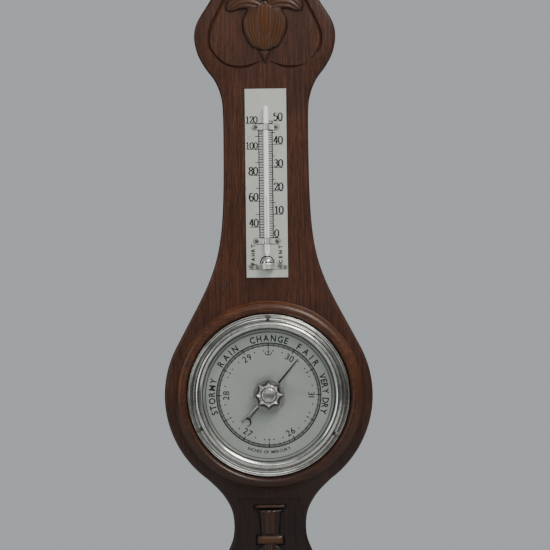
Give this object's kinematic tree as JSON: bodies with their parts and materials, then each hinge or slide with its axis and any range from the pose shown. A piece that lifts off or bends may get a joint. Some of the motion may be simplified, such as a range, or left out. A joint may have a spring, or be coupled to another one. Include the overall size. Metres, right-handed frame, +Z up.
{
  "type": "aneroid barometer",
  "caption": "Banjo-shaped wooden wall barometer with a round silvered dial under glass, a set hand, a thermometer and an aneroid movement.",
  "frame": {"origin": "on the dial's axis, in the plane of the wall, at the back face of the movement's pan", "axes": "+Z up the case, +Y into the wall and out of the back, so the dial faces -Y; +X to the viewer's right"},
  "size_m": [0.208, 0.044, 0.704],
  "materials": {
    "case_wood": "dark stained and varnished, satin gloss",
    "nickel": "worn nickel plate, polished",
    "silvered": "silvered brass, satin",
    "clear_glass": "clear, bevelled edge",
    "opal_glass": "white-backed thermometer glass",
    "mercury": "mirror-like",
    "brass": "lacquered, satin",
    "steel": "bright, ground",
    "blued_steel": "blued",
    "japanned_iron": "black japanned"
  },
  "bodies": {
    "case": {"base_carving": "case_wood", "base_plate": "brass", "base_screw_1": "steel", "base_screw_2": "steel", "base_screw_3": "steel", "bezel": "nickel", "bezel_screw_1": "steel", "bezel_screw_2": "steel", "bezel_screw_3": "steel", "bulb_cup": "nickel", "capsule_nut": "brass", "case_body": "case_wood", "clip_pin_1": "steel", "clip_pin_2": "steel", "clip_pin_3": "steel", "clip_pin_4": "steel", "crest_carving": "case_wood", "crest_drop": "case_wood", "dial_moulding": "case_wood", "dial_plate": "silvered", "dial_seat_ring": "brass", "glass": "clear_glass", "hairspring": "steel", "hanging_plate": "brass", "hanging_screw_1": "steel", "hanging_screw_2": "steel", "lower_tube_clip": "nickel", "mercury_bulb": "mercury", "movement_pan": "brass", "pillar_nut_1": "brass", "pillar_nut_2": "brass", "pillar_nut_3": "brass", "regulator_frame": "brass", "sight_ring": "silvered", "spring_bridge": "japanned_iron", "thermometer_plate": "silvered", "thermometer_tube": "opal_glass", "top_plate": "brass", "top_plate_pillar_1": "brass", "top_plate_pillar_2": "brass", "top_plate_pillar_3": "brass", "upper_tube_clip": "nickel", "vacuum_capsule": "nickel"},
    "hand": {"indicating_hand": "blued_steel", "arbor": "brass", "chain_pulley": "brass"},
    "set_hand": {"set_hand": "nickel", "set_spindle": "nickel", "set_knob": "nickel"},
    "adjuster": {"adjusting_screw": "steel"},
    "rocker": {"rocking_shaft": "steel"},
    "chain": {"drive_chain": "steel"},
    "link": {"link_rod": "steel"},
    "lever": {"main_lever": "steel", "main_spring": "steel"},
    "capsule_post": {"capsule_post": "brass", "knife_edge": "nickel"}
  },
  "joints": [
    {"name": "hand_turn", "type": "hinge", "parent": "case", "child": "hand", "pos_m": [0, 0, 0], "axis": [0, 1, 0], "range_deg": [-249.6, 50.4]},
    {"name": "set_hand_turn", "type": "hinge", "parent": "case", "child": "set_hand", "pos_m": [0, 0, 0], "axis": [0, 1, 0], "continuous": true},
    {"name": "adjuster_turn", "type": "hinge", "parent": "case", "child": "adjuster", "pos_m": [-0.012, 0, 0.053], "axis": [0, -1, 0], "range_deg": [-360, 360]},
    {"name": "rocker_swing", "type": "hinge", "parent": "case", "child": "rocker", "pos_m": [0, -0.007, -0.03], "axis": [1, 0, 0], "range_deg": [-42.3, 8.6]},
    {"name": "chain_pull", "type": "slide", "parent": "case", "child": "chain", "axis": [0, 0, -1], "range_m": [-0.0096, 0.00196]},
    {"name": "link_push", "type": "slide", "parent": "case", "child": "link", "axis": [0, 1, 0], "range_m": [-0.00222, 0.00045]},
    {"name": "lever_swing", "type": "hinge", "parent": "case", "child": "lever", "pos_m": [0, -0.018, 0.041], "axis": [1, 0, 0], "range_deg": [-1.72, 0.35]},
    {"name": "post_push", "type": "slide", "parent": "case", "child": "capsule_post", "axis": [0, 1, 0], "range_m": [-0.00069, 0.00014]}
  ],
  "couplings": [
    {"joint": "rocker_swing", "follows": "hand_turn", "ratio": 0.16923},
    {"joint": "chain_pull", "follows": "hand_turn", "m_per_rad": 0.0022},
    {"joint": "link_push", "follows": "hand_turn", "m_per_rad": 0.00050769},
    {"joint": "lever_swing", "follows": "hand_turn", "ratio": 0.0068727},
    {"joint": "post_push", "follows": "hand_turn", "m_per_rad": 0.00015807}
  ]
}
